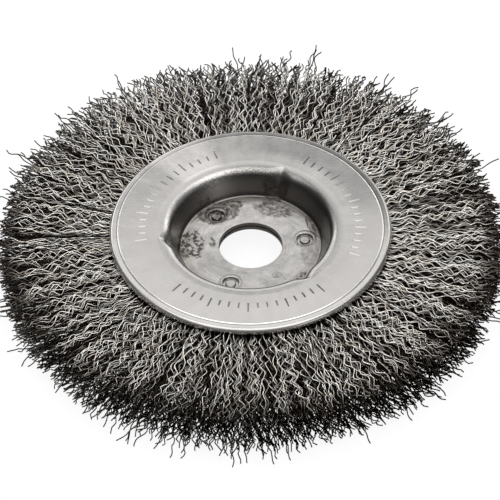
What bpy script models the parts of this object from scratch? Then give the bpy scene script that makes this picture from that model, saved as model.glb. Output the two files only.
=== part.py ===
"""Crimped wire wheel brush, laid flat: two dished side plates clinched together round a ring of
doubled-over crimped steel wire. Metres, +Z up, origin at the centre of the bore, in the mid-plane."""

import math
import random

import bmesh
import bpy
from mathutils import Matrix, Vector

# Wheel and spindle
WHEEL_RADIUS = 0.0625
BORE_RADIUS = 0.008
CLEARANCE = 0.0003

# Pressed side plate, measured on its open face
SHEET = 0.001
FLANGE_RADIUS = 0.0354
DISH_DEPTH = 0.0066
DISH_RIM_RADIUS = 0.0211
DISH_FLOOR_RADIUS = 0.0177
DISH_RIM_BEND = 0.0016
DISH_FOOT_BEND = 0.0012
RIM_BAND_WIDTH = 0.002
RIM_BAND_DROP = 0.0003
LIP_BEND = 0.0003
LIP_DROP = 0.0015
PLATE_SEGMENTS = 42

# Pressed corner beads in the dish wall
BEAD_COUNT = 3
BEAD_ANGLE = math.radians(68)
BEAD_WIDTH = 0.005
BEAD_DEPTH = 0.0013

# Round clinch points that join the two floors
CLINCH_COUNT = 3
CLINCH_ANGLE = math.radians(8)
CLINCH_CIRCLE_RADIUS = 0.0138
CLINCH_PIT_RADIUS = 0.0021
CLINCH_PIT_DEPTH = 0.0018
CLINCH_LEAD = 0.0005
CLINCH_CENTRE_RADIUS = 0.0011
CLINCH_CENTRE_RISE = 0.0004
CLINCH_WALL = 0.0004
CLINCH_SEGMENTS = 12

# Core ring that the wires are folded over
CORE_WIRE_RADIUS = 0.0015
CORE_SIDES = 8
RING_SEGMENTS = 36

# Wire fill
FOLD_THICKNESS = 0.0011
FOLD_SLOT = 0.0008
CRESTS = 68
FURROW_AT_CLAMP = 0.0008
FURROW_AT_TIPS = 0.002
NOTCH_DEPTH = 0.0016
FILL_WIDTH_AT_TIPS = 0.0126
TIP_LEVEL_SHARE = 0.8
RIM_MIDDLE_LEVEL = 0.0022
RIM_MIDDLE_DROP = 0.0007
SLOT_LEVEL_AT_TIPS = 0.0005
SLOT_MOUTH_DROP = 0.0026
CRIMP_PITCH = 0.005
CRIMP_HEIGHT = 0.0008
CRIMP_SHARE_AT_CLAMP = 0.4
CRIMP_TILT = math.radians(23)
TIP_SCATTER = 0.0024
TIP_DRIFT = 0.0005
FILL_SEED = 7

# Levels of the plates and of the space between them
FLOOR_BACK = CLEARANCE / 2
FLOOR_FACE = FLOOR_BACK + SHEET
FLANGE_FACE = FLOOR_FACE + DISH_DEPTH
BAND_FACE = FLANGE_FACE - RIM_BAND_DROP
LIP_END = BAND_FACE - LIP_DROP


def clear_scene():
    """Take every object out of the scene."""
    for item in list(bpy.data.objects):
        bpy.data.objects.remove(item, do_unlink=True)


def make_collection(name):
    """Return a new collection in the scene."""
    group = bpy.data.collections.new(name)
    bpy.context.scene.collection.children.link(group)
    return group


def make_material(name, colour, roughness, metallic):
    """Return a Principled material of one colour."""
    material = bpy.data.materials.new(name)
    material.use_nodes = True
    shader = material.node_tree.nodes["Principled BSDF"]
    shader.inputs["Base Color"].default_value = (*colour, 1.0)
    shader.inputs["Roughness"].default_value = roughness
    shader.inputs["Metallic"].default_value = metallic
    material.diffuse_color = (*colour, 1.0)
    return material


def add_object(name, mesh, group, material=None):
    """Put a mesh in the scene as a named, smooth-shaded object."""
    item = bpy.data.objects.new(name, mesh)
    group.objects.link(item)
    if material:
        mesh.materials.append(material)
    mesh.shade_smooth()
    mesh.set_sharp_from_angle(angle=math.radians(30))
    return item


def add_cutter(name, mesh, group):
    """Put a mesh in the scene as a hidden tool for a Boolean."""
    item = bpy.data.objects.new(name, mesh)
    group.objects.link(item)
    item.hide_render = True
    item.display_type = "WIRE"
    return item


def add_boolean(item, tool, operation):
    """Join or cut an object with a tool."""
    modifier = item.modifiers.new(tool.name, "BOOLEAN")
    modifier.operation = operation
    modifier.solver = "EXACT"
    modifier.object = tool


def around(count, start):
    """Angles of a pattern of equal steps about the axis."""
    return [start + 2 * math.pi * number / count for number in range(count)]


def fillet(before, corner, after, radius, steps):
    """Points of the arc that rounds one corner of an outline in the (radius, height) plane."""
    back = (before - corner).normalized()
    ahead = (after - corner).normalized()
    half_angle = back.angle(ahead) / 2
    centre = corner + (back + ahead).normalized() * radius / math.sin(half_angle)
    start = corner + back * radius / math.tan(half_angle) - centre
    sweep = math.pi - 2 * half_angle
    turn = 1 if start.y * back.x > start.x * back.y else -1
    points = []
    for number in range(steps + 1):
        angle = turn * sweep * number / steps
        cosine, sine = math.cos(angle), math.sin(angle)
        arm = Vector((start.x * cosine - start.y * sine, start.x * sine + start.y * cosine))
        points.append(centre + arm)
    return points


def rounded_outline(corners):
    """Outline through corners given as (radius, height, rounding, arc steps)."""
    places = [Vector(corner[:2]) for corner in corners]
    outline = [places[0]]
    for number in range(1, len(corners) - 1):
        rounding, steps = corners[number][2:]
        if rounding:
            outline += fillet(places[number - 1], places[number], places[number + 1], rounding, steps)
        else:
            outline.append(places[number])
    outline.append(places[-1])
    return outline


def turn_outline(outline, segments, start_angle=0.0, closed=False):
    """Spin an outline once about the Z axis and return the bmesh."""
    shape = bmesh.new()
    facing = Matrix.Rotation(start_angle, 3, "Z")
    row = [shape.verts.new(facing @ Vector((point.x, 0, point.y))) for point in outline]
    edges = [shape.edges.new(pair) for pair in zip(row, row[1:])]
    if closed:
        edges.append(shape.edges.new((row[-1], row[0])))
    bmesh.ops.spin(
        shape,
        geom=row + edges,
        cent=(0, 0, 0),
        axis=(0, 0, 1),
        angle=2 * math.pi,
        steps=segments,
        use_merge=True,
    )
    bmesh.ops.remove_doubles(shape, verts=shape.verts[:], dist=1e-7)
    bmesh.ops.recalc_face_normals(shape, faces=shape.faces[:])
    return shape


def bmesh_to_mesh(shape, name):
    """Write a bmesh to a new mesh and free it."""
    mesh = bpy.data.meshes.new(name)
    shape.to_mesh(mesh)
    shape.free()
    return mesh


def plate_outline():
    """Open face of the pressed plate, from the lip's edge in to the bore."""
    band_radius = FLANGE_RADIUS - RIM_BAND_WIDTH
    return rounded_outline([
        (FLANGE_RADIUS, LIP_END),
        (FLANGE_RADIUS, BAND_FACE, LIP_BEND + SHEET, 2),
        (band_radius, BAND_FACE, 0, 0),
        (band_radius - RIM_BAND_DROP, FLANGE_FACE, 0, 0),
        (DISH_RIM_RADIUS, FLANGE_FACE, DISH_RIM_BEND + SHEET, 3),
        (DISH_FLOOR_RADIUS, FLOOR_FACE, DISH_FOOT_BEND, 2),
        (BORE_RADIUS, FLOOR_FACE),
    ])


def press_beads(shape):
    """Push the dish wall outwards in narrow V beads that deepen from its foot to its rim."""
    half_angle = BEAD_WIDTH / 2 / DISH_RIM_RADIUS
    column_step = 2 * math.pi / PLATE_SEGMENTS
    bead_end = DISH_RIM_RADIUS + 2 * (DISH_RIM_BEND + SHEET)
    for vert in shape.verts:
        radius = math.hypot(vert.co.x, vert.co.y)
        if not DISH_FLOOR_RADIUS - DISH_FOOT_BEND < radius < bead_end:
            continue
        angle = math.atan2(vert.co.y, vert.co.x)
        rise = min(max((vert.co.z - FLOOR_FACE) / DISH_DEPTH, 0.0), 1.0)
        for bead in around(BEAD_COUNT, BEAD_ANGLE):
            off = math.remainder(angle - bead, 2 * math.pi)
            column = round(off / column_step)
            if column == 0:
                radius += BEAD_DEPTH * rise
            elif abs(column) == 1:
                angle = bead + column * half_angle
        vert.co.x = radius * math.cos(angle)
        vert.co.y = radius * math.sin(angle)


def clinch_tool(name, corners, group):
    """One turned peg at each clinch point, as one hidden tool."""
    outline = [Vector(corner) for corner in corners]
    peg = bmesh_to_mesh(turn_outline(outline, CLINCH_SEGMENTS), name)
    shape = bmesh.new()
    for angle in around(CLINCH_COUNT, CLINCH_ANGLE):
        before = len(shape.verts)
        shape.from_mesh(peg)
        shape.verts.ensure_lookup_table()
        centre = Vector((math.cos(angle), math.sin(angle), 0)) * CLINCH_CIRCLE_RADIUS
        bmesh.ops.translate(shape, vec=centre, verts=shape.verts[before:])
    return add_cutter(name, bmesh_to_mesh(shape, name), group)


def pressed_plate(name, side, group, material):
    """One side plate: a turned sheet with beads, thickened inwards. side is 1 in front, -1 behind."""
    shape = turn_outline(plate_outline(), PLATE_SEGMENTS, BEAD_ANGLE)
    press_beads(shape)
    bmesh.ops.scale(shape, vec=(1, 1, side), verts=shape.verts[:])
    bmesh.ops.recalc_face_normals(shape, faces=shape.faces[:])
    floor_face = max(shape.faces, key=lambda face: -math.hypot(*face.calc_center_median()[:2]))
    if floor_face.normal.z * side < 0:
        bmesh.ops.reverse_faces(shape, faces=shape.faces[:])
    plate = add_object(name, bmesh_to_mesh(shape, name), group, material)
    wall = plate.modifiers.new("sheet", "SOLIDIFY")
    wall.thickness = SHEET
    wall.offset = -1
    wall.use_even_offset = True
    return plate


def peg_corners(radius, top, bottom, edge=0.0):
    """Outline of a round peg from top to bottom, with a slanted edge at its bottom."""
    return [(0, top), (radius, top), (radius, bottom + edge), (radius - edge, bottom), (0, bottom)]


def clinch_plates(front, rear, tools):
    """Draw the front floor into cups that seat in larger cups of the rear floor."""
    pit_end = FLOOR_FACE - CLINCH_PIT_DEPTH
    button_end = pit_end - CLINCH_WALL
    socket_end = button_end - CLEARANCE
    boss_end = socket_end - CLINCH_WALL
    button_radius = CLINCH_PIT_RADIUS + CLINCH_WALL
    socket_radius = button_radius + CLEARANCE
    boss_radius = socket_radius + CLINCH_WALL
    inside_front = (FLOOR_FACE + FLOOR_BACK) / 2
    pit_corners = [
        (0, FLOOR_FACE + CLINCH_LEAD),
        (CLINCH_PIT_RADIUS + 2 * CLINCH_LEAD, FLOOR_FACE + CLINCH_LEAD),
        (CLINCH_PIT_RADIUS, FLOOR_FACE - CLINCH_LEAD),
        (CLINCH_PIT_RADIUS, pit_end),
        (CLINCH_CENTRE_RADIUS, pit_end),
        (CLINCH_CENTRE_RADIUS, pit_end + CLINCH_CENTRE_RISE),
        (0, pit_end + CLINCH_CENTRE_RISE),
    ]
    button = clinch_tool("clinch_button", peg_corners(button_radius, inside_front, button_end), tools)
    pit = clinch_tool("clinch_pit", pit_corners, tools)
    boss_outline = peg_corners(boss_radius, -inside_front, boss_end, CLINCH_LEAD)
    boss = clinch_tool("clinch_boss", boss_outline, tools)
    socket = clinch_tool("clinch_socket", peg_corners(socket_radius, inside_front, socket_end), tools)
    add_boolean(front, button, "UNION")
    add_boolean(front, pit, "DIFFERENCE")
    add_boolean(rear, boss, "UNION")
    add_boolean(rear, socket, "DIFFERENCE")


def bead_back_line():
    """Back of the dish wall at a bead, as two points of the (radius, height) plane."""
    rise = Vector((DISH_RIM_RADIUS - DISH_FLOOR_RADIUS, DISH_DEPTH))
    along = rise.normalized()
    outward = Vector((along.y, -along.x))
    foot = Vector((DISH_FLOOR_RADIUS, FLOOR_FACE)) + outward * SHEET
    rim = foot + rise * (1 - SHEET / DISH_DEPTH)
    foot -= rise * (foot.y - FLOOR_BACK) / DISH_DEPTH
    return foot, rim + Vector((BEAD_DEPTH, 0))


def core_radius():
    """Radius of the core ring that leaves room for the folded wire against the dish walls."""
    foot, rim = bead_back_line()
    along = (rim - foot).normalized()
    room = CORE_WIRE_RADIUS + FOLD_THICKNESS + 3 * CLEARANCE
    return foot.x + (room - foot.y * along.x) / along.y


def core_ring(name, group, material):
    """The plain steel wire ring."""
    bpy.ops.mesh.primitive_torus_add(
        major_segments=RING_SEGMENTS,
        minor_segments=CORE_SIDES,
        major_radius=core_radius(),
        minor_radius=CORE_WIRE_RADIUS,
    )
    ring = bpy.context.active_object
    ring.name = name
    ring.data.name = name
    for owner in list(ring.users_collection):
        owner.objects.unlink(ring)
    group.objects.link(ring)
    ring.data.materials.append(material)
    ring.data.shade_smooth()
    return ring


def clamp_top():
    """Height of the clamped wire under the plate's rim band."""
    return BAND_FACE - SHEET - CLEARANCE


def clamp_radius():
    """Radius at which the wire leaves the plates, just inside their lips."""
    return FLANGE_RADIUS - SHEET - CLEARANCE


def fold_outline():
    """Section of the folded and clamped wire: a fork that goes round the core ring."""
    foot, rim = bead_back_line()
    along = (rim - foot).normalized()
    ring = core_radius()
    hole = CORE_WIRE_RADIUS + CLEARANCE
    bend = hole + FOLD_THICKNESS
    top = clamp_top()
    end = clamp_radius()
    apex = ring - bend / along.y
    corner = apex + top * along.x / along.y
    slot = FOLD_SLOT / 2
    outside = rounded_outline([
        (end, slot),
        (end, top, 0, 0),
        (corner, top, 0, 0),
        (apex, 0, bend, 3),
        (corner, -top, 0, 0),
        (end, -top, 0, 0),
        (end, -slot),
    ])
    opening = math.asin(slot / hole)
    inside = []
    steps = CORE_SIDES - 2
    for number in range(steps + 1):
        angle = -opening - (2 * math.pi - 2 * opening) * number / steps
        inside.append(Vector((ring + hole * math.cos(angle), hole * math.sin(angle))))
    return outside + inside


def crimp_swing(number, share):
    """Sideways swing of the wires at one bend, which grows away from the clamp."""
    return (-1) ** number * CRIMP_HEIGHT * min(1.0, CRIMP_SHARE_AT_CLAMP + 2 * share)


def on_wheel(angle, radius, aside, height):
    """Point at a radius and height, moved aside along the rim."""
    outward = Vector((math.cos(angle), math.sin(angle), 0))
    sideways = Vector((-math.sin(angle), math.cos(angle), 0))
    return outward * radius + sideways * aside + Vector((0, 0, height))


def fan_column(angle, crest, rng):
    """Section of the front fan at a crest or a furrow: open face, rim and the side by the slot."""
    start = clamp_radius()
    tip = WHEEL_RADIUS - rng.uniform(0, TIP_SCATTER)
    tilt = rng.uniform(-CRIMP_TILT, CRIMP_TILT)
    drift = rng.uniform(-TIP_DRIFT, TIP_DRIFT)
    clamp_level = LIP_END - CLEARANCE
    tip_level = FILL_WIDTH_AT_TIPS / 2
    if not crest:
        tip -= NOTCH_DEPTH
        clamp_level -= FURROW_AT_CLAMP
        tip_level -= FURROW_AT_TIPS
    bends = round((WHEEL_RADIUS - start) / (CRIMP_PITCH / 2))
    step = (WHEEL_RADIUS - TIP_SCATTER - start) / bends
    column = [on_wheel(angle, start - SHEET, 0, height) for height in (FOLD_SLOT, clamp_level)]
    for number in range(1, bends):
        share = number / bends
        swing = crimp_swing(number, share)
        aside = swing * math.cos(tilt) + drift * share
        height = clamp_level + (tip_level - clamp_level) * share + swing * math.sin(tilt) * share
        column.append(on_wheel(angle, start + step * number, aside, height))
    aside = crimp_swing(bends, 1) + drift
    column.append(on_wheel(angle, tip, aside, tip_level * TIP_LEVEL_SHARE))
    column.append(on_wheel(angle, tip - RIM_MIDDLE_DROP, drift, RIM_MIDDLE_LEVEL))
    column.append(on_wheel(angle, tip - SLOT_MOUTH_DROP, drift, SLOT_LEVEL_AT_TIPS))
    return column


def crimped_fan(name, side, rng, group):
    """All wires of one half of the fold, as a ring of crests and furrows. side is 1 in front."""
    shape = bmesh.new()
    columns = []
    for number, angle in enumerate(around(2 * CRESTS, 0)):
        points = fan_column(angle, number % 2 == 0, rng)
        columns.append([shape.verts.new((point.x, point.y, point.z * side)) for point in points])
    for first, second in zip(columns, columns[1:] + columns[:1]):
        for row in range(len(first)):
            corners = (first[row - 1], second[row - 1], second[row], first[row])
            shape.faces.new(corners)
    bmesh.ops.recalc_face_normals(shape, faces=shape.faces[:])
    return add_cutter(name, bmesh_to_mesh(shape, name), group)


def wire_fill(name, group, tools, material):
    """The whole fill as one body: the clamped fold and the fan of wires that leaves each side of it."""
    rng = random.Random(FILL_SEED)
    shape = turn_outline(fold_outline(), RING_SEGMENTS, closed=True)
    fill = add_object(name, bmesh_to_mesh(shape, name), group, material)
    add_boolean(fill, crimped_fan("front_fan", 1, rng, tools), "UNION")
    add_boolean(fill, crimped_fan("rear_fan", -1, rng, tools), "UNION")
    return fill


def build():
    """Make the wheel."""
    clear_scene()
    parts = make_collection("wire_wheel_brush")
    tools = make_collection("cutters")
    front_steel = make_material("front_plate_steel", (0.60, 0.59, 0.57), 0.32, 1.0)
    rear_steel = make_material("rear_plate_steel", (0.57, 0.56, 0.54), 0.36, 1.0)
    core_steel = make_material("core_ring_steel", (0.33, 0.32, 0.31), 0.5, 1.0)
    wire_steel = make_material("crimped_wire_steel", (0.24, 0.23, 0.21), 0.42, 1.0)
    front = pressed_plate("front_side_plate", 1, parts, front_steel)
    rear = pressed_plate("rear_side_plate", -1, parts, rear_steel)
    clinch_plates(front, rear, tools)
    core_ring("core_ring", parts, core_steel)
    wire_fill("wire_fill", parts, tools, wire_steel)


build()
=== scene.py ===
"""Crimped wire wheel brush: the finish of its pressed plates, its wires, and the light it stands in."""
import math

import bmesh
import bpy
from mathutils import Matrix, Vector


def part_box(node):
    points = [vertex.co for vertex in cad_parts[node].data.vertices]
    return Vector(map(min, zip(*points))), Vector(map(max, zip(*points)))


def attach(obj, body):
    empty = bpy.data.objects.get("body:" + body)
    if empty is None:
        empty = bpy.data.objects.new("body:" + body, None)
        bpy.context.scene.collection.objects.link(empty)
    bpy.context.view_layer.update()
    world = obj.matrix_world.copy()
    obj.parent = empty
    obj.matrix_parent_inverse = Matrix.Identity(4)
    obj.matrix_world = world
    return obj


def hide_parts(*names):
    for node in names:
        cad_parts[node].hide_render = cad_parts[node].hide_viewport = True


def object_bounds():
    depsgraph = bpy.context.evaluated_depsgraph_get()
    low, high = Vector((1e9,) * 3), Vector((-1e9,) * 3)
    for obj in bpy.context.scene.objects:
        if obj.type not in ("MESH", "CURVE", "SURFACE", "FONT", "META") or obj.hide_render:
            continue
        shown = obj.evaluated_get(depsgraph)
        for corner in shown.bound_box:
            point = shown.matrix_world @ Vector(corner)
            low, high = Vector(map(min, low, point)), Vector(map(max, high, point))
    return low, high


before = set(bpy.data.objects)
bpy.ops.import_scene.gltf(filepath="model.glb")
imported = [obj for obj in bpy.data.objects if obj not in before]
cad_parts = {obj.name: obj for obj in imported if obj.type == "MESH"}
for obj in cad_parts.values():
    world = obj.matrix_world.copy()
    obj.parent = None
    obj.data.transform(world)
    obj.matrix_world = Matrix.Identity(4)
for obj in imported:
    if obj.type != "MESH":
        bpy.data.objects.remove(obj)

cad_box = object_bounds()

# Front side plate
# A disc blanked and pressed from 1 mm bright rolled steel sheet. The press leaves a turned-down
# rim with a narrow lowered band, a dish with three sharp corner beads in its wall, a flat floor
# round the bore, and round clinch pits that lock it to the plate behind.

SHEET = 0.001
BORE_RADIUS = 0.008
FLANGE_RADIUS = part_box("front_side_plate")[1].x
FLANGE_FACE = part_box("front_side_plate")[1].z
FLOOR_FACE = 0.00115
SHOULDER_RADIUS = 0.0237
SHOULDER_FALL = 0.00016
SHOULDER_ROUNDING = 0.010
DISH_RIM_RADIUS = 0.0206
DISH_RIM_ROUNDING = 0.0029
DISH_FLOOR_RADIUS = 0.0177
DISH_FOOT_ROUNDING = 0.0006
BAND_WIDTH = 0.002
BAND_DROP = 0.0003
BAND_SLOPE = 0.0001
LIP_ROUNDING = 0.00105
LIP_END = 0.00595
EDGE_ROUNDING = 0.0002
EDGE_HIGHLIGHT_RADIUS = 0.03322
STEP_LINE_RADIUS = 0.03352
FLANGE_FLAT_RADIUS = 0.0275
FLANGE_FALL = 0.00016
FLANGE_FALL_ROUNDING = 0.11
SHARP_BEND = math.radians(32)
PLATE_SEGMENTS = 216

BEAD_COUNT = 3
BEAD_ANGLE = math.radians(68)
BEAD_HALF_ANGLE = math.radians(9.5)
BEAD_SOFTNESS = math.radians(1.3)
BEAD_DEPTH = 0.0014
BEAD_SHARE_AT_FOOT = 0.3
BEAD_CROWDING = 0.22
BEAD_SHARPNESS = 1.7
BEAD_FADE = 0.7

CLINCH_COUNT = 3
CLINCH_ANGLE = math.radians(8)
CLINCH_CIRCLE_RADIUS = 0.0138
CLINCH_PIT_RADIUS = 0.0020
CLINCH_PIT_DEPTH = 0.0008
CLINCH_ROUNDING = 0.0004
CLINCH_CENTRE_RADIUS = 0.0011
CLINCH_CENTRE_RISE = 0.0005
CLINCH_RING_RADIUS = 0.0027
BEAD_FOOT_RADIUS = 0.0174
BEAD_FOOT_RING_RADIUS = 0.0013
CLINCH_SEGMENTS = 40

TICK_GROUPS = (math.radians(148), math.radians(18), math.radians(268))
TICKS_IN_GROUP = 17
TICK_STEP = math.radians(5)
TICK_INNER_RADIUS = 0.0258
TICK_OUTER_RADIUS = 0.0296
TICK_SHORT_RADIUS = 0.0284
TICK_HALF_WIDTH = 0.00024
TICK_DEPTH = 0.00018

# Tones of the steel, the drawn wall with its painted shade, the painted shade in the bore, and the
# directions of the speckled side, the painted shade and the painted highlights
SHEET_STEEL = (0.310, 0.301, 0.292, 1.0)
DARKER_STEEL = (0.18, 0.16, 0.14, 1.0)
DRAWN_AND_SHADED_WALL = ((0.18, 0.17, 0.16, 1.0), (0.34, 0.32, 0.30, 1.0))
STAIN_COLOUR = (0.046, 0.038, 0.032, 1.0)
BORE_SHADE = (0.035, 0.030, 0.026, 1.0)
SPECKLED_ANGLE = 2.3
SHADED_ANGLE = 0.85
SHADED_BAND_ANGLE = 1.05
HIGHLIGHT_WEDGE_ANGLE = 2.12
BUMP_HEIGHT = 0.0001


class Field:
    """A node's output that can stand in a Python sum."""

    def __init__(self, nodes, socket):
        self.nodes = nodes
        self.socket = socket

    def __add__(self, other):
        return self.nodes.maths("ADD", self, other)

    def __sub__(self, other):
        return self.nodes.maths("SUBTRACT", self, other)

    def __mul__(self, other):
        return self.nodes.maths("MULTIPLY", self, other)

    def __truediv__(self, other):
        return self.nodes.maths("DIVIDE", self, other)

    def __rsub__(self, other):
        return self.nodes.maths("SUBTRACT", other, self)

    __radd__ = __add__


class Nodes:
    """Adds nodes to a tree, each from its type, its settings and what goes into its sockets."""

    def __init__(self, tree):
        self.tree = tree

    def add(self, kind, settings=None, values=None, out=0):
        node = self.tree.nodes.new(kind)
        for name, setting in (settings or {}).items():
            if name == "stops":
                self.set_stops(node.color_ramp, setting)
            else:
                setattr(node, name, setting)
        for key, value in (values or {}).items():
            if isinstance(value, Field):
                self.tree.links.new(value.socket, node.inputs[key])
            else:
                node.inputs[key].default_value = value
        return Field(self, node.outputs[out])

    def set_stops(self, ramp, stops):
        while len(ramp.elements) < len(stops):
            ramp.elements.new(1.0)
        for element, (place, colour) in zip(ramp.elements, stops):
            element.position = place
            element.color = (*colour, 1.0)

    def maths(self, operation, *values):
        return self.add("ShaderNodeMath", {"operation": operation}, dict(enumerate(values)))

    def highest(self, masks):
        """The highest of several masks."""
        top = masks[0]
        for mask in masks[1:]:
            top = self.maths("MAXIMUM", top, mask)
        return top

    def clamped(self, value):
        return self.add("ShaderNodeClamp", {}, {0: value})

    def smooth(self, value, low, high):
        """0 below low, 1 above high, and smooth between them."""
        settings = {"interpolation_type": "SMOOTHSTEP"}
        return self.add("ShaderNodeMapRange", settings, {0: value, 1: low, 2: high})

    def line(self, distance, edge, core):
        """1 on a line, where a distance is under the core, and 0 past the edge."""
        return self.smooth(self.maths("ABSOLUTE", distance), edge, core)

    def mix(self, share, first, second):
        """A colour between two colours."""
        return self.add("ShaderNodeMix", {"data_type": "RGBA"}, {0: share, 6: first, 7: second}, 2)

    def scaled(self, colour, factor):
        """A colour made lighter or darker."""
        settings = {"operation": "SCALE"}
        return self.add("ShaderNodeVectorMath", settings, {0: colour, 3: factor})

    def vector(self, x, y, z):
        return self.add("ShaderNodeCombineXYZ", {}, {0: x, 1: y, 2: z})

    def parts(self, vector):
        """The three numbers of a vector."""
        outputs = self.add("ShaderNodeSeparateXYZ", {}, {0: vector}).socket.node.outputs
        return [Field(self, output) for output in outputs]

    def noise(self, place, scale, detail=2.0, roughness=0.5):
        """Smooth noise about 0.5, with its scale in patches a metre."""
        values = {"Vector": place, "Scale": scale, "Detail": detail, "Roughness": roughness}
        return self.add("ShaderNodeTexNoise", {"noise_dimensions": "3D"}, values)


def new_material(name):
    """A material, its nodes and its surface shader."""
    material = bpy.data.materials.new(name)
    material.use_nodes = True
    tree = material.node_tree
    return material, Nodes(tree), tree.nodes["Principled BSDF"]


def make_metal(nodes, shader, colour, roughness, relief=None):
    """Lead a metal's colour, roughness and relief into its shader."""
    shader.inputs["Metallic"].default_value = 1.0
    for name, value in (("Base Color", colour), ("Roughness", roughness), ("Normal", relief)):
        if value is not None:
            nodes.tree.links.new(value.socket, shader.inputs[name])


def fillet(before, corner, after, radius, steps):
    """Points of the arc that rounds one corner of an outline in the (radius, height) plane."""
    back = (before - corner).normalized()
    ahead = (after - corner).normalized()
    half_angle = back.angle(ahead) / 2
    centre = corner + (back + ahead).normalized() * radius / math.sin(half_angle)
    start = corner + back * radius / math.tan(half_angle) - centre
    sweep = math.pi - 2 * half_angle
    turn = 1 if start.y * back.x > start.x * back.y else -1
    points = []
    for number in range(steps + 1):
        angle = turn * sweep * number / steps
        cosine, sine = math.cos(angle), math.sin(angle)
        arm = Vector((start.x * cosine - start.y * sine, start.x * sine + start.y * cosine))
        points.append(centre + arm)
    return points


def rounded_outline(corners):
    """Outline through corners given as (radius, height, rounding, arc steps)."""
    places = [Vector(corner[:2]) for corner in corners]
    outline = [places[0]]
    for number in range(1, len(corners) - 1):
        rounding, steps = corners[number][2:]
        outline += fillet(places[number - 1], places[number], places[number + 1], rounding, steps)
    outline.append(places[-1])
    return outline


def turned(outline, segments, closed=False):
    """The bmesh that an outline sweeps in one turn about the Z axis."""
    shape = bmesh.new()
    row = [shape.verts.new((point.x, 0, point.y)) for point in outline]
    edges = [shape.edges.new(pair) for pair in zip(row, row[1:])]
    if closed:
        edges.append(shape.edges.new((row[-1], row[0])))
    bmesh.ops.spin(
        shape,
        geom=row + edges,
        cent=(0, 0, 0),
        axis=(0, 0, 1),
        angle=2 * math.pi,
        steps=segments,
        use_merge=True,
    )
    bmesh.ops.remove_doubles(shape, verts=shape.verts[:], dist=1e-7)
    bmesh.ops.recalc_face_normals(shape, faces=shape.faces[:])
    return shape


def new_piece(name, shape, material=None):
    """An object made of a bmesh, which is freed."""
    mesh = bpy.data.meshes.new(name)
    shape.to_mesh(mesh)
    shape.free()
    if material:
        mesh.materials.append(material)
    piece = bpy.data.objects.new(name, mesh)
    bpy.context.scene.collection.objects.link(piece)
    return piece


def plate_outline():
    """Open face of the plate, from the lip's edge in to the bore."""
    band_radius = FLANGE_RADIUS - BAND_WIDTH
    band_face = FLANGE_FACE - BAND_DROP
    return rounded_outline([
        (FLANGE_RADIUS, LIP_END),
        (FLANGE_RADIUS, band_face - BAND_SLOPE, LIP_ROUNDING, 8),
        (band_radius, band_face, EDGE_ROUNDING / 2, 2),
        (band_radius - EDGE_ROUNDING, FLANGE_FACE - FLANGE_FALL, EDGE_ROUNDING / 2, 2),
        (FLANGE_FLAT_RADIUS, FLANGE_FACE, FLANGE_FALL_ROUNDING, 6),
        (SHOULDER_RADIUS, FLANGE_FACE, SHOULDER_ROUNDING, 5),
        (DISH_RIM_RADIUS, FLANGE_FACE - SHOULDER_FALL, DISH_RIM_ROUNDING, 12),
        (DISH_FLOOR_RADIUS, FLOOR_FACE, DISH_FOOT_ROUNDING, 7),
        (BORE_RADIUS, FLOOR_FACE),
    ])


def press_corner_beads(shape):
    """Push the dish wall out in three sharp beads, with the mesh drawn closer along them."""
    wall_start = DISH_FLOOR_RADIUS - DISH_FOOT_ROUNDING / 2
    rim_end = DISH_RIM_RADIUS + DISH_RIM_ROUNDING
    spacing = 2 * math.pi / BEAD_COUNT
    for vert in shape.verts:
        radius = math.hypot(vert.co.x, vert.co.y)
        off = math.remainder(math.atan2(vert.co.y, vert.co.x), spacing)
        bead = math.atan2(vert.co.y, vert.co.x) - off + BEAD_ANGLE
        off -= BEAD_CROWDING * math.sin(BEAD_COUNT * off)
        if wall_start < radius < rim_end:
            rise = min(max((vert.co.z - FLOOR_FACE) / (FLANGE_FACE - FLOOR_FACE), 0), 1)
            foot = min((radius - wall_start) / (DISH_FOOT_ROUNDING / 2), 1)
            fade = min((rim_end - radius) / (DISH_RIM_ROUNDING * BEAD_FADE), 1)
            share = foot * fade * (BEAD_SHARE_AT_FOOT + (1 - BEAD_SHARE_AT_FOOT) * rise)
            aside = math.hypot(off, BEAD_SOFTNESS) - BEAD_SOFTNESS
            crest = max(0, 1 - aside / BEAD_HALF_ANGLE) ** BEAD_SHARPNESS
            radius += BEAD_DEPTH * share * crest
        vert.co.x = radius * math.cos(bead + off)
        vert.co.y = radius * math.sin(bead + off)


def clinch_pegs(name, corners):
    """A turned peg at each clinch point, as one tool for a Boolean."""
    peg = bpy.data.meshes.new(name)
    turned(rounded_outline(corners), CLINCH_SEGMENTS).to_mesh(peg)
    shape = bmesh.new()
    for number in range(CLINCH_COUNT):
        angle = CLINCH_ANGLE + 2 * math.pi * number / CLINCH_COUNT
        before = len(shape.verts)
        shape.from_mesh(peg)
        shape.verts.ensure_lookup_table()
        centre = Vector((math.cos(angle), math.sin(angle), 0)) * CLINCH_CIRCLE_RADIUS
        bmesh.ops.translate(shape, vec=centre, verts=shape.verts[before:])
    return new_piece(name, shape)


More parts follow.
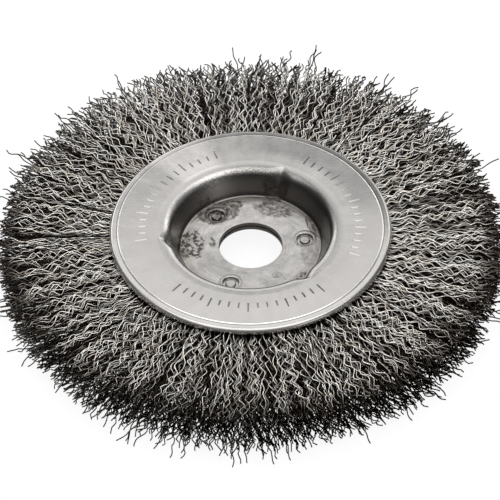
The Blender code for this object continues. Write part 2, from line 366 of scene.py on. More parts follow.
def tick_punches(name):
    """Plain radial strokes in three groups on the flange, as one tool for a Boolean."""
    shape = bmesh.new()
    above = FLANGE_FACE + TICK_DEPTH
    below = FLANGE_FACE - TICK_DEPTH
    for group in TICK_GROUPS:
        for number in range(TICKS_IN_GROUP):
            angle = group + (number - (TICKS_IN_GROUP - 1) / 2) * TICK_STEP
            outer = TICK_OUTER_RADIUS if number % 4 == 0 else TICK_SHORT_RADIUS
            turn = Matrix.Rotation(angle, 3, "Z")
            ends = (TICK_INNER_RADIUS, outer)
            top = []
            for radius, side in zip((*ends, *ends[::-1]), (-2, -2, 2, 2)):
                top.append(shape.verts.new(turn @ Vector((radius, side * TICK_HALF_WIDTH, above))))
            inset = 2 * TICK_HALF_WIDTH
            keel = []
            for radius in (ends[0] + inset, ends[1] - inset):
                keel.append(shape.verts.new(turn @ Vector((radius, 0, below))))
            shape.faces.new(top)
            shape.faces.new((top[0], top[3], keel[0]))
            shape.faces.new((top[1], top[0], keel[0], keel[1]))
            shape.faces.new((top[2], top[1], keel[1]))
            shape.faces.new((top[3], top[2], keel[1], keel[0]))
    bmesh.ops.recalc_face_normals(shape, faces=shape.faces[:])
    return new_piece(name, shape)


def cut_or_join(piece, tool, operation):
    """Add a Boolean with a hidden tool."""
    tool.hide_render = True
    step = piece.modifiers.new(tool.name, "BOOLEAN")
    step.operation = operation
    step.solver = "EXACT"
    step.object = tool


def finished(piece, *tools):
    """Turn a piece's modifiers into its mesh, with flat faces kept flat, and drop the tools."""
    piece.modifiers.new("even_shading", "WEIGHTED_NORMAL").keep_sharp = True
    depsgraph = bpy.context.evaluated_depsgraph_get()
    mesh = bpy.data.meshes.new_from_object(piece.evaluated_get(depsgraph))
    piece.modifiers.clear()
    piece.data = mesh
    for tool in tools:
        bpy.data.objects.remove(tool, do_unlink=True)


def pressed_sheet(name, side, material):
    """A plate of even sheet, before its clinch points. side is 1 in front and -1 behind."""
    shape = turned(plate_outline(), PLATE_SEGMENTS)
    press_corner_beads(shape)
    bmesh.ops.scale(shape, vec=(1, 1, side), verts=shape.verts[:])
    bmesh.ops.recalc_face_normals(shape, faces=shape.faces[:])
    floor_face = min(shape.faces, key=lambda face: math.hypot(*face.calc_center_median()[:2]))
    if floor_face.normal.z * side < 0:
        bmesh.ops.reverse_faces(shape, faces=shape.faces[:])
    plate = new_piece(name, shape, material)
    plate.data.shade_smooth()
    plate.data.set_sharp_from_angle(angle=SHARP_BEND)
    wall = plate.modifiers.new("sheet", "SOLIDIFY")
    wall.thickness = SHEET
    wall.offset = -1
    wall.use_even_offset = True
    return plate


def stain(nodes, place, centre, half_sizes, turn, raggedness):
    """Distance from a stain's centre, 1 at its ragged edge, with its long side turned."""
    x, y = nodes.parts(place)[:2]
    across, along = x - centre[0], y - centre[1]
    cosine, sine = math.cos(turn), math.sin(turn)
    first = (across * cosine + along * sine) / half_sizes[0]
    second = (along * cosine - across * sine) / half_sizes[1]
    distance = nodes.maths("SQRT", first * first + second * second)
    return distance + (nodes.noise(place, 700.0, 6.0, 0.7) - 0.5) * raggedness


def pressed_rings(nodes, place):
    """Rings that the punches leave round each clinch point and at the foot of each bead."""
    rings = []
    for count, start, circle, size in (
        (CLINCH_COUNT, CLINCH_ANGLE, CLINCH_CIRCLE_RADIUS, CLINCH_RING_RADIUS),
        (BEAD_COUNT, BEAD_ANGLE, BEAD_FOOT_RADIUS, BEAD_FOOT_RING_RADIUS),
    ):
        for number in range(count):
            turn = start + 2 * math.pi * number / count
            centre = (circle * math.cos(turn), circle * math.sin(turn))
            distance = stain(nodes, place, centre, (size, size), 0.0, 0.08)
            rings.append(nodes.line(distance - 1, 0.22, 0.0))
    return nodes.highest(rings)


def stained_patches(nodes, place, patchy, stains):
    """Dark patches of burnt oil, given as (centre, half sizes, turn, depth, rings, specks)."""
    specks = nodes.smooth(patchy, 0.44, 0.54)
    patches = []
    for centre, half_sizes, turn, depth, rings, speckled in stains:
        distance = stain(nodes, place, centre, half_sizes, turn, 1.1)
        veil = 0.72 + nodes.maths("SINE", distance * rings) * 0.30 + (patchy - 0.5) * 1.8
        cover = veil * (1 - speckled) + specks * speckled
        patches.append(nodes.smooth(distance, 1.10, 0.85) * cover * depth)
    return nodes.clamped(nodes.highest(patches))


def pressed_steel(name, stains):
    """Bright rolled sheet: fine grain, a dull drawn wall with painted shade, scuffs round the bore,
    dark stains, and painted highlights and shade.
    """
    material, nodes, shader = new_material(name)
    place = nodes.add("ShaderNodeTexCoord", out=3)
    x, y, z = nodes.parts(place)
    radius = nodes.maths("SQRT", x * x + y * y)
    angle = nodes.maths("ARCTAN2", y, x)

    # Grain, scuffs and clouds of several sizes
    grain = nodes.noise(nodes.vector(x * 0.06, y, z), 5200.0, 3.0, 0.6)
    cloud = nodes.noise(place, 260.0, 5.0, 0.6)
    swell = nodes.noise(place, 170.0, 2.0, 0.45)
    speckle = nodes.noise(place, 3000.0, 3.0, 0.65)
    scuff = nodes.noise(nodes.vector(radius, angle * 0.0006, z), 4200.0, 4.0, 0.65)
    spokes = nodes.noise(nodes.vector(x / radius, y / radius, radius * 12), 5.0, 5.0, 0.7)
    patchy = nodes.noise(place, 900.0, 4.0, 0.65)

    def side(direction, low, high):
        """1 on the side of the plate at an angle, and 0 on the rest."""
        return nodes.smooth(nodes.maths("COSINE", angle - direction), low, high)

    def ring_of(start, full, fading, end):
        """1 from one radius to another, and 0 inside the start and outside the end."""
        return nodes.smooth(radius, start, full) * nodes.smooth(radius, end, fading)

    # Sides, rings and lines of the plate
    speckled_side = side(SPECKLED_ANGLE, -0.1, 0.7)
    shaded_side = side(SHADED_ANGLE, 0.2, 0.85)
    behind = side(SHADED_BAND_ANGLE, 0.2, 0.75)
    # A wedge of painted highlight and a wedge of painted shade on the flange
    highlight_wedge = side(HIGHLIGHT_WEDGE_ANGLE, 0.955, 0.995)
    shaded_wedge = side(SHADED_ANGLE, 0.62, 0.97) * nodes.smooth(radius, 0.0250, 0.0285)
    # Painted shade on the dish wall reaches out to wall_top: further out and softer on the shaded side,
    # ragged on the speckled side
    wall_top = 0.0197 + shaded_side * 0.0014
    ragged = radius + (speckle - 0.5) * (0.0010 + speckled_side * 0.0040)
    blur = 0.0007 + shaded_side * 0.0009
    wall = nodes.smooth(radius, 0.0170, 0.0180) * nodes.smooth(ragged - wall_top, blur, blur * -1)
    rim = ring_of(0.0196, 0.0206, 0.0216, 0.0232)
    # Painted highlight on the dish rim on the speckled side
    glint = ring_of(0.0199, 0.0206, 0.0211, 0.0221) * speckled_side
    floor = nodes.smooth(radius, 0.0174, 0.0169)
    flange = nodes.smooth(radius, 0.0225, 0.0235)
    # Painted shade: a dark line in the corner of the step
    step_shade_line = nodes.line(radius - STEP_LINE_RADIUS, 0.00020, 0.00006)
    # Painted highlights: a thin bright line at the step's edge, and the lip's edge, which is wider
    # behind
    edge_highlight = nodes.line(radius - EDGE_HIGHLIGHT_RADIUS, 0.00018, 0.00004)
    lip_highlight = nodes.smooth(radius, 0.03500 - behind * 0.00020, 0.03525 - behind * 0.00020)
    edge_highlight = nodes.maths("MAXIMUM", edge_highlight, lip_highlight)
    band = nodes.smooth(radius, 0.03335, 0.03350)
    # Painted shade on the band outside the step, behind
    shaded_band = ring_of(0.03335, 0.03350, 0.03420, 0.03500) * behind
    # Painted shade: the bore wall, and the crevice where the plates meet round the bore, are painted
    # nearly black
    bore_shade = nodes.smooth(radius, 0.00808, 0.00803)
    plate_gap_shade = nodes.line(z, 0.0006, 0.0003) * nodes.smooth(radius, 0.009, 0.0085)
    ring = pressed_rings(nodes, place)
    stained = stained_patches(nodes, place, patchy, stains) * nodes.smooth(radius, 0.0205, 0.0195)

    # How light the steel is in each place: its own tone and marks, with painted highlights and painted
    # shade
    worn = (scuff - 0.5) * floor
    lightness = 0.97 - floor * 0.07 + (cloud - 0.5) * (0.08 + floor * 0.80)
    lightness = lightness + (grain - 0.5) * 0.10 + worn * 0.60
    # Painted shade: a little on the dish rim and a dark line along the step; the pressed rings darken
    # the floor
    lightness = lightness * (1 - rim * 0.04) * (1 - ring * floor * 0.35) * (1 - step_shade_line * 0.50)
    # Painted highlights on the step's edge and the lip, brightest behind, and spokes of tone on the
    # flange
    lightness = lightness + edge_highlight * 0.75 + lip_highlight * behind * 1.1 + (spokes - 0.5) * flange * 0.36
    # Painted highlight on the speckled side of the dish rim
    lightness = lightness + glint * (speckle * 1.1 - 0.05)
    # The flange's wedges of painted highlight and painted shade
    lightness = lightness + (highlight_wedge * 0.40 - shaded_wedge * (0.24 - edge_highlight * 1.2)) * flange
    # Painted shade on the shaded side of the dish, from the wall out over its rim
    shaded = shaded_side * nodes.smooth(radius, 0.0240, 0.0202) * (1 - floor)
    # Painted shade on the band behind; the band outside the step is otherwise a little lighter
    lightness = lightness * (1 - shaded * 0.48) * (1 + band * 0.09) * (1 - shaded_band * 0.50)

    # Colour of the clean sheet, darker towards the foot of the dish wall, the drawn wall with its
    # painted shade, the stains and the painted shade in the bore
    # The floor is darker towards the foot of the dish wall
    near_wall_foot = nodes.smooth(radius + (cloud - 0.5) * 0.004, 0.0148, 0.0172) * floor
    clean = nodes.mix(near_wall_foot * 0.6, SHEET_STEEL, DARKER_STEEL)
    # The drawn wall is painted dark as shade: darkest under the rim, lighter lower down, with a dark
    # painted shade line at its foot
    below_rim = nodes.smooth(radius, 0.0203, 0.0190)
    foot_line = nodes.smooth(radius, 0.0184, 0.0179)
    drawn = nodes.mix(speckle, *DRAWN_AND_SHADED_WALL)
    drawn = nodes.scaled(drawn, 0.50 + below_rim * 0.55 - foot_line * 0.60)
    steel = nodes.scaled(nodes.mix(wall, clean, drawn), lightness)
    colour = nodes.mix(stained, steel, STAIN_COLOUR)
    # Painted shade in the bore and in the crevice between the plates
    colour = nodes.mix(nodes.maths("MAXIMUM", bore_shade, plate_gap_shade), colour, BORE_SHADE)

    # Roughness and relief
    roughness = 0.24 + (cloud - 0.5) * 0.08 + (grain - 0.5) * 0.10 + stained * 0.20 + wall * 0.06
    roughness = roughness + (spokes - 0.5) * flange * 0.14
    height = (swell - 0.5) * (0.4 + floor * 1.7) + (grain - 0.5) * 0.04 + worn * 0.26
    height = height + (cloud - 0.5) * (0.12 + floor * 0.35) + (ring - 0.5) * ring * floor * 1.4
    coarse = 0.03 + wall * 0.45 + rim * speckled_side * 0.55 + stained * 0.9
    height = height + (speckle - 0.5) * coarse
    relief = {"Strength": 1.0, "Distance": BUMP_HEIGHT, "Height": height}
    make_metal(nodes, shader, colour, roughness, nodes.add("ShaderNodeBump", {}, relief))
    return material


FRONT_STAINS = (
    ((-0.0080, 0.0119), (0.0056, 0.0038), 0.30, 0.92, 15.0, 0.2),
    ((-0.0045, 0.0143), (0.0027, 0.0018), 0.20, 0.95, 9.0, 0.3),
    ((-0.0146, 0.0009), (0.0030, 0.0050), 0.10, 1.00, 9.0, 0.9),
    ((-0.0098, 0.0015), (0.0009, 0.0021), 0.10, 0.90, 9.0, 0.9),
    ((0.0060, 0.0125), (0.0052, 0.0025), -0.35, 0.80, 20.0, 0.4),
    ((0.0064, -0.0105), (0.0013, 0.0012), 0.00, 0.50, 9.0, 0.3),
    ((0.0158, 0.0060), (0.0012, 0.0042), 0.38, 0.90, 9.0, 0.3),
    ((0.0148, -0.0020), (0.0024, 0.0060), 0.00, 0.40, 9.0, 0.6),
    ((0.0068, 0.0180), (0.0036, 0.0024), -0.20, 0.95, 9.0, 0.3),
    ((0.0120, -0.0114), (0.0026, 0.0010), 0.82, 0.95, 9.0, 0.6),
    ((-0.0170, -0.0014), (0.0014, 0.0030), 0.10, 0.97, 9.0, 0.5),
)
front_steel = pressed_steel("front_plate_steel", FRONT_STAINS)
front_plate = pressed_sheet("front_plate", 1, front_steel)
pit_floor = FLOOR_FACE - CLINCH_PIT_DEPTH
cup_end = pit_floor - SHEET / 2
cup_radius = CLINCH_PIT_RADIUS + SHEET / 2
front_cups = clinch_pegs("front_cups", [
    (0, FLOOR_FACE - SHEET / 2),
    (cup_radius, FLOOR_FACE - SHEET / 2, SHEET / 8, 1),
    (cup_radius, cup_end, SHEET / 4, 3),
    (0, cup_end),
])
front_pits = clinch_pegs("front_pits", [
    (0, FLOOR_FACE + CLINCH_ROUNDING),
    (CLINCH_PIT_RADIUS + CLINCH_ROUNDING, FLOOR_FACE + CLINCH_ROUNDING, CLINCH_ROUNDING / 16, 1),
    (CLINCH_PIT_RADIUS + CLINCH_ROUNDING, FLOOR_FACE, CLINCH_ROUNDING / 16, 1),
    (CLINCH_PIT_RADIUS, FLOOR_FACE, CLINCH_ROUNDING * 0.9, 6),
    (CLINCH_PIT_RADIUS, pit_floor, CLINCH_ROUNDING / 3, 3),
    (CLINCH_CENTRE_RADIUS + CLINCH_CENTRE_RISE / 2, pit_floor, CLINCH_ROUNDING / 4, 2),
    (CLINCH_CENTRE_RADIUS, pit_floor + CLINCH_CENTRE_RISE, CLINCH_ROUNDING / 3, 3),
    (0, pit_floor + CLINCH_CENTRE_RISE),
])
front_ticks = tick_punches("front_ticks")
cut_or_join(front_plate, front_cups, "UNION")
cut_or_join(front_plate, front_pits, "DIFFERENCE")
cut_or_join(front_plate, front_ticks, "DIFFERENCE")
finished(front_plate, front_cups, front_pits, front_ticks)
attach(front_plate, "root")
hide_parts("front_side_plate")

# Rear side plate
# The mirror of the front plate, from the same press. Its floor is drawn out in three round bosses
# where it takes the cups of the front plate. It has no stamped strokes.

BOSS_RADIUS = 0.0031
BOSS_END = -0.00175

REAR_STAINS = (
    ((0.0110, -0.0060), (0.0030, 0.0022), 0.50, 0.60, 12.0, 0.3),
    ((-0.0120, 0.0070), (0.0018, 0.0026), 0.20, 0.45, 9.0, 0.6),
)
rear_steel = pressed_steel("rear_plate_steel", REAR_STAINS)
rear_plate = pressed_sheet("rear_plate", -1, rear_steel)
rear_bosses = clinch_pegs("rear_bosses", [
    (0, -FLOOR_FACE + SHEET / 2),
    (BOSS_RADIUS, -FLOOR_FACE + SHEET / 2, SHEET / 8, 1),
    (BOSS_RADIUS, BOSS_END, SHEET / 3, 5),
    (0, BOSS_END),
])
cut_or_join(rear_plate, rear_bosses, "UNION")
finished(rear_plate, rear_bosses)
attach(rear_plate, "root")
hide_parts("rear_side_plate")

# Core ring
# A ring of plain drawn steel wire that lies inside the fill. The wires are doubled over it, so
# that the plates hold them by their fold.

DARK_STREAK = (0.20, 0.19, 0.18, 1.0)
BRIGHT_STREAK = (0.42, 0.40, 0.38, 1.0)

core_steel, nodes, shader = new_material("core_ring_steel")
place = nodes.add("ShaderNodeTexCoord", out=3)
drawn = nodes.noise(place, 1500.0, 4.0)
dull = nodes.mix(drawn, DARK_STREAK, BRIGHT_STREAK)
make_metal(nodes, shader, dull, 0.4 + drawn * 0.2)
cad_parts["core_ring"].data.materials.clear()
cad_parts["core_ring"].data.materials.append(core_steel)

# Wire fold
# The stretch of the fill between the plates, where the wires are doubled over the core ring and
# packed until they touch. Only its edge shows, dark behind the plates' lips.

CORE_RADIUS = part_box("core_ring")[1].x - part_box("core_ring")[1].z
CORE_ROOM = 0.0018
FOLD_THICKNESS = 0.0011
FOLD_TOP = 0.00612
FOLD_END = 0.0341
FOLD_SLOT = 0.0003
FOLD_WALL_RADIUS = 0.0229
FOLD_ROUNDING = 0.0006
FOLD_SHARP_BEND = math.radians(35)
FOLD_SEGMENTS = 180
FOLD_ARC_STEPS = 16
# Dark brown of the painted shade in the fill, and the bare and the tarnished wire steel
WIRE_SHADE = (0.022, 0.0162, 0.0112, 1.0)
BARE_WIRE = (0.97, 0.945, 0.895, 1.0)
TARNISHED_WIRE = (0.84, 0.765, 0.670, 1.0)


def crimped_steel(name):
    """Hard drawn wire: bare steel with a tarnish that varies, and a dark brown painted shade inside the
    fill, at the tips and on the sides facing in.
    """
    material, nodes, shader = new_material(name)
    place = nodes.add("ShaderNodeTexCoord", out=3)
    tone_and_shade = nodes.add("ShaderNodeAttribute", {"attribute_name": "wire_tone"}, out=2)
    face = nodes.add("ShaderNodeAttribute", {"attribute_name": "wire_face"}, out=2)
    film = nodes.noise(place, 420.0, 3.0)
    mottle = nodes.noise(place, 3000.0, 2.0)
    bare = nodes.mix(nodes.smooth(film, 0.44, 0.66), BARE_WIRE, TARNISHED_WIRE)
    # Painted light and shade: bright steel at the faces of the fill and on the wires' outward sides,
    # dark brown inside, at the tips and on the inward sides
    painted_shading = nodes.clamped(tone_and_shade * (0.05 + face * 1.20))
    steel = nodes.mix(painted_shading * (0.62 + painted_shading * 0.38), WIRE_SHADE, bare)
    colour = nodes.scaled(steel, 0.96 + (mottle - 0.5) * 0.3)
    make_metal(nodes, shader, colour, 0.24 + mottle * 0.14)
    return material


wire_steel = crimped_steel("crimped_wire_steel")
bend = CORE_ROOM + FOLD_THICKNESS
outside = rounded_outline([
    (FOLD_END, FOLD_SLOT),
    (FOLD_END, FOLD_TOP, FOLD_ROUNDING, 3),
    (FOLD_WALL_RADIUS, FOLD_TOP, FOLD_ROUNDING, 3),
    (CORE_RADIUS - bend, 0, bend, 8),
    (FOLD_WALL_RADIUS, -FOLD_TOP, FOLD_ROUNDING, 3),
    (FOLD_END, -FOLD_TOP, FOLD_ROUNDING, 3),
    (FOLD_END, -FOLD_SLOT),
])
slot_angle = math.asin(FOLD_SLOT / CORE_ROOM)
inside = []
for number in range(FOLD_ARC_STEPS + 1):
    angle = -slot_angle - (2 * math.pi - 2 * slot_angle) * number / FOLD_ARC_STEPS
    inside.append(Vector((CORE_RADIUS + CORE_ROOM * math.cos(angle), CORE_ROOM * math.sin(angle))))
# Painted shade: the fold carries no shade attribute, so the wire steel paints it all in its dark shade
# colour
fold = new_piece("wire_fold", turned(outside + inside, FOLD_SEGMENTS, closed=True), wire_steel)
fold.data.shade_smooth()
fold.data.set_sharp_from_angle(angle=FOLD_SHARP_BEND)
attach(fold, "root")
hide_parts("wire_fill")

# Crimped wires
# More than five thousand ends of 0.3 mm hard steel wire, crimped to waves before they are bundled,
# which keeps them springy and apart. They leave the plates packed and fan out to a frayed rim, and
# a few stray wires stand out of it.

WIRE_RADIUS = 0.000142
TIP_THICKENING = 0.25
WIRE_START = 0.0336
WIRE_TIPS = 0.0634
TIP_SCATTER = 0.0065
STRAY_REACH = 0.0034
CLAMP_HALF_WIDTH = 0.0056
TIP_HALF_WIDTH = 0.0066
GROUPS = 280
CRIMP_PITCH = 0.0046
CRIMP_HEIGHT = 0.00080
SWAY = 0.0015
GROUP_BOW = 0.0020
WIRE_BOW = 0.0032
GROUP_RISE = 0.0016
WIRE_RISE = 0.0028
STRAY_LIFT = 0.0090
# Depth into the fill over which the painted shade grows dark
SHADE_DEPTH = 0.0017
GOLDEN_SHARE = 0.6180339887
FLOOR_LEVEL = cad_box[0][2]

# Wires, points a wire and crowding to the tips, from the front layer to the rear one
LAYERS = (
    (900, 36, 0.1), (800, 30, 0.1), (560, 22, 0.3), (480, 18, 0.3),
    (480, 18, 0.3), (560, 22, 0.3), (760, 28, 0.1), (860, 32, 0.1),
)


def wire_layer_nodes():
    """Node tree that grows one layer of crimped wires."""
    tree = bpy.data.node_groups.new("crimped_wire_layer", "GeometryNodeTree")
    tree.interface.new_socket("Layer", in_out="OUTPUT", socket_type="NodeSocketGeometry")
    for name, kind in (
        ("Wires", "NodeSocketInt"),
        ("Points a wire", "NodeSocketInt"),
        ("Crowding to the tips", "NodeSocketFloat"),
        ("Lowest level", "NodeSocketFloat"),
        ("Highest level", "NodeSocketFloat"),
        ("Wire radius", "NodeSocketFloat"),
        ("Tip thickening", "NodeSocketFloat"),
        ("Start radius", "NodeSocketFloat"),
        ("Tip radius", "NodeSocketFloat"),
        ("Tip scatter", "NodeSocketFloat"),
        ("Stray reach", "NodeSocketFloat"),
        ("Half width at clamp", "NodeSocketFloat"),
        ("Half width at tips", "NodeSocketFloat"),
        ("Groups", "NodeSocketInt"),
        ("Crimp pitch", "NodeSocketFloat"),
        ("Crimp height", "NodeSocketFloat"),
        ("Sway", "NodeSocketFloat"),
        ("Group bow", "NodeSocketFloat"),
        ("Wire bow", "NodeSocketFloat"),
        ("Group rise", "NodeSocketFloat"),
        ("Wire rise", "NodeSocketFloat"),
        ("Stray lift", "NodeSocketFloat"),
        ("Shade depth", "NodeSocketFloat"),
        ("Floor level", "NodeSocketFloat"),
        ("Seed", "NodeSocketInt"),
        ("Material", "NodeSocketMaterial"),
    ):
        tree.interface.new_socket(name, in_out="INPUT", socket_type=kind)
    nodes = Nodes(tree)
    given = tree.nodes.new("NodeGroupInput")
    size = {socket.name: Field(nodes, socket) for socket in given.outputs if socket.name}
    made = tree.nodes.new("NodeGroupOutput")

    def chance(low, high, number, whose=None):
        """A random value for each wire, or for each group of wires."""
        values = {2: low, 3: high, "ID": whose or wire, "Seed": size["Seed"] * 32 + number}
        return nodes.add("FunctionNodeRandomValue", {"data_type": "FLOAT"}, values, 1)

    def bowed(whose, number):
        """A slow random bend along each wire or each group of wires."""
        place = nodes.vector(whose * 3.17 + size["Seed"] * 7.7, along * 3.2 + number * 5.3, 0.0)
        values = {"Vector": place, "Scale": 1.0, "Detail": 0.0}
        return nodes.add("ShaderNodeTexNoise", {"noise_dimensions": "2D"}, values) - 0.5

    # Which wire a point belongs to, and how far along it lies
    points_each = size["Points a wire"]
    index = nodes.add("GeometryNodeInputIndex")
    wire = nodes.maths("FLOOR", (index + 0.5) / points_each)
    share = (index - wire * points_each) / (points_each - 1)
    crowding = size["Crowding to the tips"]
    along = share * (1 + crowding) - share * share * crowding

    # Where the wire leaves the plates, and in which group
    turn = nodes.maths("FRACT", wire * GOLDEN_SHARE + size["Seed"] * 0.317)
    group = nodes.maths("FLOOR", turn * size["Groups"] + chance(-0.3, 0.3, 1))
    angle = turn * (2 * math.pi) + chance(-0.010, 0.010, 2)
    root_x, root_y = nodes.maths("COSINE", angle), nodes.maths("SINE", angle)
    spread = size["Highest level"] - size["Lowest level"]
    level = size["Lowest level"] + spread * chance(0.0, 1.0, 3)
    stray = nodes.smooth(chance(0.0, 1.0, 4), 0.89, 0.97)

    # How far it reaches
    reach = size["Tip radius"] - size["Tip scatter"] * chance(0.0, 1.0, 5) * chance(0.0, 1.0, 6)
    length = reach + stray * size["Stray reach"] - size["Start radius"]
    radius = size["Start radius"] + length * along
    opened = along * (2 - along)
    widening = size["Half width at tips"] - size["Half width at clamp"]
    half_width = size["Half width at clamp"] + widening * opened

    # Its crimp, and how it sways and bows
    phase = chance(0.0, 6.283, 7, group) + chance(-1.0, 1.0, 8) + stray * 3
    phase = phase + bowed(group, 5) * 7 + bowed(wire, 6) * 5 * along
    pitch = size["Crimp pitch"] * chance(0.9, 1.12, 9, group) * chance(0.95, 1.05, 10)
    wave = nodes.maths("SINE", length * along / pitch * (2 * math.pi) + phase)
    height = size["Crimp height"] * chance(0.7, 1.3, 11, group) * chance(0.85, 1.15, 12)
    relaxed = along * along * (0.25 + stray * 0.35)
    swing = wave * height * nodes.smooth(along, -0.10, 0.25) * (1 - relaxed)
    tilt = chance(-0.6, 0.6, 13, group) + chance(-0.8, 0.8, 14)
    sway = size["Sway"] * (chance(-0.6, 0.6, 15, group) + chance(-0.7, 0.7, 16) * (1 + stray * 3))
    lift = size["Sway"] * (chance(-0.7, 0.7, 17, group) + chance(-0.3, 0.3, 18))
    outward = level * nodes.maths("ABSOLUTE", level)
    lift = lift + outward * stray * size["Stray lift"] * chance(0.0, 1.0, 19)
    aside_bow = (bowed(group, 1) * size["Group bow"] + bowed(wire, 2) * size["Wire bow"]) * along
    upward_bow = (bowed(group, 3) * size["Group rise"] + bowed(wire, 4) * size["Wire rise"]) * along

    # Place of each point, kept above the floor
    sideways = swing * nodes.maths("COSINE", tilt) + sway * along * along + aside_bow
    rise = level * half_width + swing * nodes.maths("SINE", tilt) + lift * along * along + upward_bow
    tip_half_thickness = size["Wire radius"] * (1 + size["Tip thickening"])
    rise = nodes.maths("MAXIMUM", rise, size["Floor level"] + tip_half_thickness)
    place = nodes.vector(
        radius * root_x - sideways * root_y,
        radius * root_y + sideways * root_x,
        rise)

    # Lines through the points
    points = nodes.add("GeometryNodePoints", {}, {"Count": size["Wires"] * points_each})
    curves = nodes.add(
        "GeometryNodePointsToCurves", {},
        {0: points, "Curve Group ID": wire, "Weight": index})
    straight = nodes.add("GeometryNodeCurveSplineType", {"spline_type": "POLY"}, {0: curves})
    placed = nodes.add("GeometryNodeSetPosition", {}, {0: straight, "Position": place})
    level_wise = nodes.add("GeometryNodeSetCurveNormal", {"mode": "Z_UP"}, {0: placed})

    # Painted shade with a random tone for each wire: bright at the faces of the fill and dark inside it
    # and at the tips
    near_face = half_width - nodes.maths("ABSOLUTE", rise)
    near_tips = (size["Tip radius"] - radius) * 0.5 + size["Shade depth"] * 0.5
    depth = nodes.maths("MAXIMUM", nodes.maths("MINIMUM", near_face, near_tips), 0.0)
    # The tips, which also grow thicker, are darkened as painted shade, a little less at the front
    at_end = nodes.smooth(length * (1 - along), 0.0044 + stray * 0.006, 0.0014 + stray * 0.005)
    at_rim = nodes.smooth(size["Tip radius"] - radius, 0.0052, 0.0018)
    tip = nodes.maths("MAXIMUM", at_end * (0.75 + stray * 0.25), at_rim)
    lit_end = nodes.smooth(root_y, 0.0, -0.6) * (1 - stray)
    tone_and_shade = nodes.smooth(depth / size["Shade depth"], 1.0, 0.0) * chance(0.8, 1.0, 20)
    toned = nodes.add(
        "GeometryNodeStoreNamedAttribute", {"data_type": "FLOAT", "domain": "POINT"},
        {0: level_wise, "Name": "wire_tone", "Value": tone_and_shade * (1 - tip * (0.98 - lit_end * 0.40))})

    # Wires drawn along the lines, with painted light: the sides that face out of the fill bright and
    # the others dark
    section = nodes.add(
        "GeometryNodeCurvePrimitiveCircle", {"mode": "RADIUS"},
        {"Resolution": 3, "Radius": size["Wire radius"]})
    thickness = 1 + tip * size["Tip thickening"]
    drawn = nodes.add(
        "GeometryNodeCurveToMesh", {},
        {0: toned, 1: section, "Scale": thickness, "Fill Caps": True})
    shaded = nodes.add("GeometryNodeSetShadeSmooth", {}, {0: drawn, "Shade Smooth": True})
    facing = nodes.parts(nodes.add("GeometryNodeInputNormal"))[2]
    side = nodes.maths("SIGN", nodes.parts(nodes.add("GeometryNodeInputPosition"))[2])
    painted_shading = nodes.add(
        "GeometryNodeStoreNamedAttribute", {"data_type": "FLOAT", "domain": "POINT"},
        {0: shaded, "Name": "wire_face", "Value": nodes.smooth(facing * side, -0.10, 0.85)})
    real = nodes.add("GeometryNodeRealizeInstances", {}, {0: painted_shading})
    final = nodes.add("GeometryNodeSetMaterial", {}, {0: real, "Material": size["Material"]})
    tree.links.new(final.socket, made.inputs[0])
    return tree


def grow_wires(name, tree, sizes):
    """A plain mesh of one layer, grown by the node tree from its named inputs."""
    layer = bpy.data.objects.new(name, bpy.data.meshes.new(name))
    bpy.context.scene.collection.objects.link(layer)
    step = layer.modifiers.new("wires", "NODES")
    step.node_group = tree
    for item in tree.interface.items_tree:
        if item.in_out == "INPUT":
            step[item.identifier] = sizes[item.name]
    depsgraph = bpy.context.evaluated_depsgraph_get()
    mesh = bpy.data.meshes.new_from_object(layer.evaluated_get(depsgraph))
    layer.modifiers.clear()
    layer.data = mesh
    mesh.name = name
    return layer


layer_tree = wire_layer_nodes()
for number, (wires, points, crowding) in enumerate(LAYERS):
    layer = grow_wires(f"wire_layer_{number + 1}", layer_tree, {
        "Wires": wires,
        "Points a wire": points,
        "Crowding to the tips": crowding,
        "Lowest level": 1 - 2 * (number + 1) / len(LAYERS),
        "Highest level": 1 - 2 * number / len(LAYERS),
        "Wire radius": WIRE_RADIUS,
        "Tip thickening": TIP_THICKENING,
        "Start radius": WIRE_START,
        "Tip radius": WIRE_TIPS,
        "Tip scatter": TIP_SCATTER,
        "Stray reach": STRAY_REACH,
        "Half width at clamp": CLAMP_HALF_WIDTH,
        "Half width at tips": TIP_HALF_WIDTH,
        "Groups": GROUPS,
        "Crimp pitch": CRIMP_PITCH,
        "Crimp height": CRIMP_HEIGHT,
        "Sway": SWAY,
        "Group bow": GROUP_BOW,
        "Wire bow": WIRE_BOW,
        "Group rise": GROUP_RISE,
        "Wire rise": WIRE_RISE,
        "Stray lift": STRAY_LIFT,
        "Shade depth": SHADE_DEPTH,
        "Floor level": FLOOR_LEVEL,
        "Seed": number + 1,
        "Material": wire_steel,
    })
    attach(layer, "root")
    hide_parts("wire_fill")

# Studio
# A plain white floor in a tent of broad soft lamps, with white cards at the back and sides that
# shine in the steel; the bright wedge on the flange is a painted highlight. The camera stands 1 m
# away and looks down at 45 degrees.

CAMERA_DISTANCE = 1.0
CAMERA_ELEVATION = math.radians(45.47)
CAMERA_ROLL = math.radians(1.23)
IMAGE_SIDE = 500
FOCAL_PIXELS = 3974.4
ORIGIN_PIXEL = (250.29, 248.05)
IMAGE_CENTRE = 249.5
SENSOR_WIDTH = 36.0

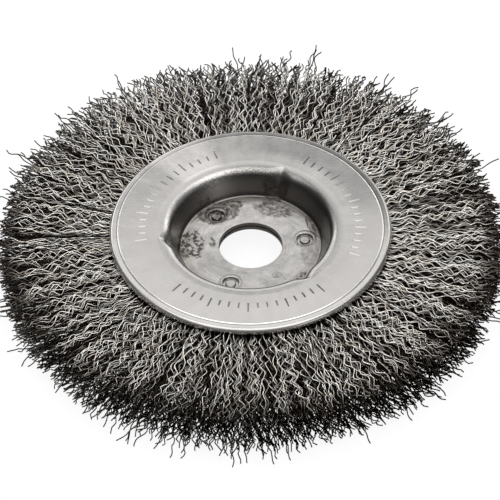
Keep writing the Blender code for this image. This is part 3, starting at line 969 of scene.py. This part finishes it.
floor_shape = bmesh.new()
bmesh.ops.create_grid(floor_shape, x_segments=1, y_segments=1, size=3.0)
bmesh.ops.translate(floor_shape, vec=(0, 0, FLOOR_LEVEL), verts=floor_shape.verts[:])
floor_white, nodes, shader = new_material("floor_white")
shader.inputs["Roughness"].default_value = 0.9
shader.inputs["Base Color"].default_value = (0.9, 0.9, 0.9, 1.0)
path = nodes.tree.nodes.new("ShaderNodeLightPath")
seen = Field(nodes, path.outputs["Is Camera Ray"])
seen = seen + Field(nodes, path.outputs["Is Glossy Ray"])
seen = seen + Field(nodes, path.outputs["Is Transmission Ray"])
glow = nodes.add("ShaderNodeEmission", {}, {"Color": (1.0, 1.0, 1.0, 1.0), "Strength": 1.0})
mixed = nodes.add(
    "ShaderNodeMixShader", {},
    {0: nodes.clamped(seen) * 0.9, 1: Field(nodes, shader.outputs[0]), 2: glow})
nodes.tree.links.new(mixed.socket, nodes.tree.nodes["Material Output"].inputs["Surface"])
floor = new_piece("studio_floor", floor_shape, floor_white)


def soft_lamp(name, place, target, size, radiance):
    """A rectangular soft box of a given brightness, turned to a target."""
    light = bpy.data.lights.new(name, "AREA")
    light.shape = "RECTANGLE"
    light.size, light.size_y = size
    light.energy = radiance * math.pi * size[0] * size[1]
    lamp = bpy.data.objects.new(name, light)
    lamp.location = place
    lamp.rotation_euler = (Vector(target) - Vector(place)).to_track_quat("-Z", "Y").to_euler()
    bpy.context.scene.collection.objects.link(lamp)


soft_lamp("tent_roof", (0, -0.275, 1.1), (0, -0.275, 0), (1.7, 1.15), 2.6)
soft_lamp("tent_back", (0, 0.84, 1.1), (0, 0.84, 0), (1.7, 0.68), 1.78)
soft_lamp("back_card", (0, 1.6, 0.36), (0, 0, 0), (2.2, 0.46), 2.0)
soft_lamp("back_screen", (0, 1.5, 0.84), (0, 0, 0), (2.2, 0.42), 2.3)
soft_lamp("right_strip", (0.85, 0.95, 0.62), (0, 0, 0), (0.6, 0.5), 2.4)
soft_lamp("left_strip", (-0.85, 0.95, 0.62), (0, 0, 0), (0.6, 0.5), 2.6)
soft_lamp("front_right_card", (0.85, -0.95, 0.22), (0, 0, 0), (0.5, 0.25), 1.6)

world = bpy.data.worlds.new("studio")
world.use_nodes = True
world_nodes = Nodes(world.node_tree)
background = world.node_tree.nodes["Background"]
direction = world_nodes.add("ShaderNodeTexCoord", out=0)
height = world_nodes.parts(direction)[2]
sky = world_nodes.add(
    "ShaderNodeValToRGB",
    {"stops": [(0.0, (0.08, 0.08, 0.08)), (0.45, (0.30, 0.30, 0.30)), (1.0, (0.6, 0.6, 0.6))]},
    {0: height})
world.node_tree.links.new(sky.socket, background.inputs["Color"])
bpy.context.scene.world = world

right = Vector((1, 0, 0))
backward = Vector((0, -math.cos(CAMERA_ELEVATION), math.sin(CAMERA_ELEVATION)))
upward = backward.cross(right)
lens = bpy.data.cameras.new("photo_camera")
lens.sensor_width = SENSOR_WIDTH
lens.lens = FOCAL_PIXELS * SENSOR_WIDTH / IMAGE_SIDE
lens.clip_end = 10.0
camera = bpy.data.objects.new("photo_camera", lens)
rolled_right = right * math.cos(CAMERA_ROLL) - upward * math.sin(CAMERA_ROLL)
rolled_up = right * math.sin(CAMERA_ROLL) + upward * math.cos(CAMERA_ROLL)
metres_a_pixel = CAMERA_DISTANCE / FOCAL_PIXELS
aside = (ORIGIN_PIXEL[0] - IMAGE_CENTRE) * metres_a_pixel
above = (IMAGE_CENTRE - ORIGIN_PIXEL[1]) * metres_a_pixel
stand = backward * CAMERA_DISTANCE - rolled_right * aside - rolled_up * above
columns = Matrix((rolled_right, rolled_up, backward)).transposed()
camera.matrix_world = Matrix.Translation(stand) @ columns.to_4x4()
bpy.context.scene.collection.objects.link(camera)
bpy.context.scene.camera = camera
bpy.context.scene.view_settings.view_transform = "Standard"
